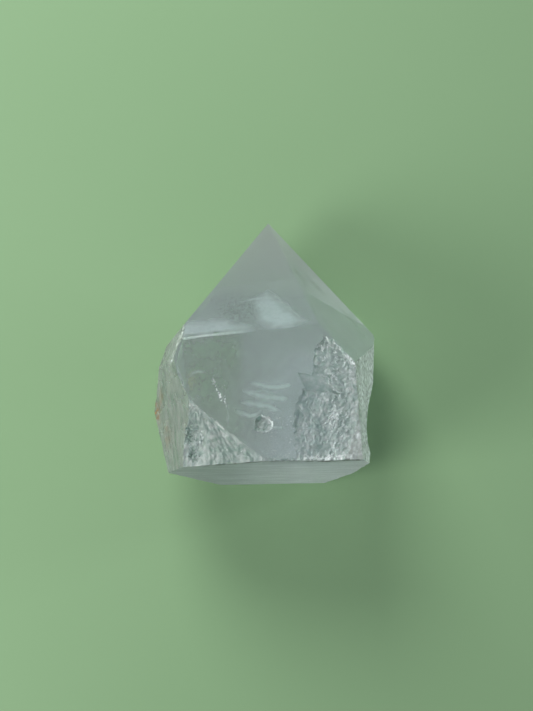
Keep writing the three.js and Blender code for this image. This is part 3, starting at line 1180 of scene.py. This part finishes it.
# Dark and light colours, roughness, scale of the grain, the part of it that is used, and its cover.
FILM_LOOKS = {
    "snow": ((0.86, 0.95, 0.94, 1), (0.94, 1.0, 0.99, 1), 0.3, 1100, (0.35, 0.65), (0.25, 1.05)),
    "frost": ((0.85, 1.0, 0.98, 1), (0.94, 1.0, 1.0, 1), 0.45, 900, (0.25, 0.65), (0.85, 1.05)),
    "mint": ((0.78, 1.0, 0.92, 1), (0.90, 1.0, 0.97, 1), 0.45, 900, (0.25, 0.65), (0.85, 1.05)),
    "cloud": ((0.80, 0.86, 1.0, 1), (0.90, 0.94, 1.0, 1), 0.45, 300, (0.25, 0.65), (0.8, 1.1)),
    "shade": ((0.06, 0.12, 0.08, 1), (0.12, 0.21, 0.14, 1), 0.45, 1500, (0.42, 0.58), (0.2, 1.2)),
    # painted shade: dark green sheets that darken the faces above them
    "painted_shade": ((0.13, 0.31, 0.14, 1), (0.21, 0.43, 0.21, 1), 0.45, 500, (0.3, 0.7), (0.6, 1.1)),
    "ochre": ((0.36, 0.44, 0.14, 1), (0.48, 0.54, 0.20, 1), 0.5, 600, (0.3, 0.6), (0.6, 1.1)),
    "rust": ((0.30, 0.13, 0.04, 1), (0.52, 0.33, 0.15, 1), 0.7, 700, (0.25, 0.65), (0.7, 1.1)),
    "dark_line": ((0.03, 0.03, 0.025, 1), (0.09, 0.08, 0.06, 1), 0.8, 1800, (0.35, 0.6), (0.3, 1.1)),
}


def film_material(name):
    """A film that is only as thick as its own attribute says, with a grain in colour and cover."""
    dark, light, roughness, scale, grain_range, cover_range = FILM_LOOKS[name]
    film = Nodes(name)
    grain = film.grain(scale, 4.0)
    cover = film.spread(grain, *grain_range, *cover_range)
    film.set(
        Base_Color=film.mix(grain, dark, light),
        Roughness=roughness,
        Alpha=film.math("MULTIPLY", film.attribute("thickness"), cover),
    )
    return film.material


GLINT_TINTS = ((0.9, 0.96, 1.0, 1), (1, 1, 1, 1))
PAPER_TINTS = ((0.27, 0.455, 0.235, 1), (0.30, 0.475, 0.262, 1))


def glint_material():
    """Open little cracks, bright as snow."""
    crack = Nodes("glint")
    crack.set(Base_Color=crack.mix(crack.grain(1500), *GLINT_TINTS), Roughness=0.15)
    return crack.material


def floor_material():
    """Sage paper with the faintest mottle."""
    paper = Nodes("floor_paper")
    paper.set(Base_Color=paper.mix(paper.grain(9, 4.0), *PAPER_TINTS), Roughness=0.85)
    return paper.material


# Stage, lights and camera, in metres.
FLOOR_SIZE = 4.0
SKY_COLOUR, SKY_STRENGTH = (0.82, 0.9, 1.0, 1), 0.2
# Name, place, the point that it is aimed at, diameter, watts and colour.
LIGHTS = [
    ("left_light", (-0.30, -0.165, 0.19), (0, 0, 0), 0.2, 0.85, (1.0, 0.985, 0.97)),
    ("far_light", (-0.14, 0.29, 0.30), (0, 0, 0), 0.25, 1.12, (1.0, 0.985, 0.98)),
    ("right_fill", (0.38, 0.08, 0.05), (0, 0, 0.02), 0.08, 0.60, (0.92, 0.97, 0.95)),
]
CAMERA_TARGET = Vector((-0.13, -3.86, THICKNESS / 2)) * MM
CAMERA_ELEVATION = 75.0
CAMERA_DISTANCE = 0.2375
LENS, SENSOR_WIDTH = 50.0, 36.0
NEAREST, FARTHEST = 0.01, 20.0


def floor():
    bpy.ops.mesh.primitive_plane_add(size=FLOOR_SIZE)
    plane = bpy.context.object
    plane.name = "floor"
    plane.data.materials.append(floor_material())


def area_light(name, place, target, size, watts, colour):
    data = bpy.data.lights.new(name, "AREA")
    data.shape = "DISK"
    data.size = size
    data.energy = watts
    data.color = colour
    light = new_object(name, data)
    light.location = place
    light.visible_camera = False
    light.rotation_euler = (Vector(target) - Vector(place)).to_track_quat("-Z", "Y").to_euler()


def world():
    sky = bpy.data.worlds.new("studio")
    sky.use_nodes = True
    background = sky.node_tree.nodes["Background"]
    background.inputs["Color"].default_value = SKY_COLOUR
    background.inputs["Strength"].default_value = SKY_STRENGTH
    bpy.context.scene.world = sky


def camera():
    """Looking down on the upper face from beyond the sawn base."""
    data = bpy.data.cameras.new("camera")
    data.lens = LENS
    data.sensor_width = SENSOR_WIDTH
    data.clip_start = NEAREST
    data.clip_end = FARTHEST
    cam = new_object("camera", data)
    back = direction(-90, CAMERA_ELEVATION)
    cam.location = CAMERA_TARGET + back * CAMERA_DISTANCE
    cam.rotation_euler = back.to_track_quat("Z", "Y").to_euler()
    bpy.context.scene.camera = cam


def main():
    bpy.context.scene.view_settings.view_transform = "Standard"
    camera()
    floor()
    world()
    for row in LIGHTS:
        area_light(*row)
    body, (stain, bruises_and_highlights, dark_line) = crystal()
    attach(body, "root")
    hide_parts("crystal")
    sealed = [veil(*row) for row in VEILS] + [glints()]
    for piece in [stain, bruises_and_highlights, dark_line, *sealed]:
        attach(piece, "root")


main()
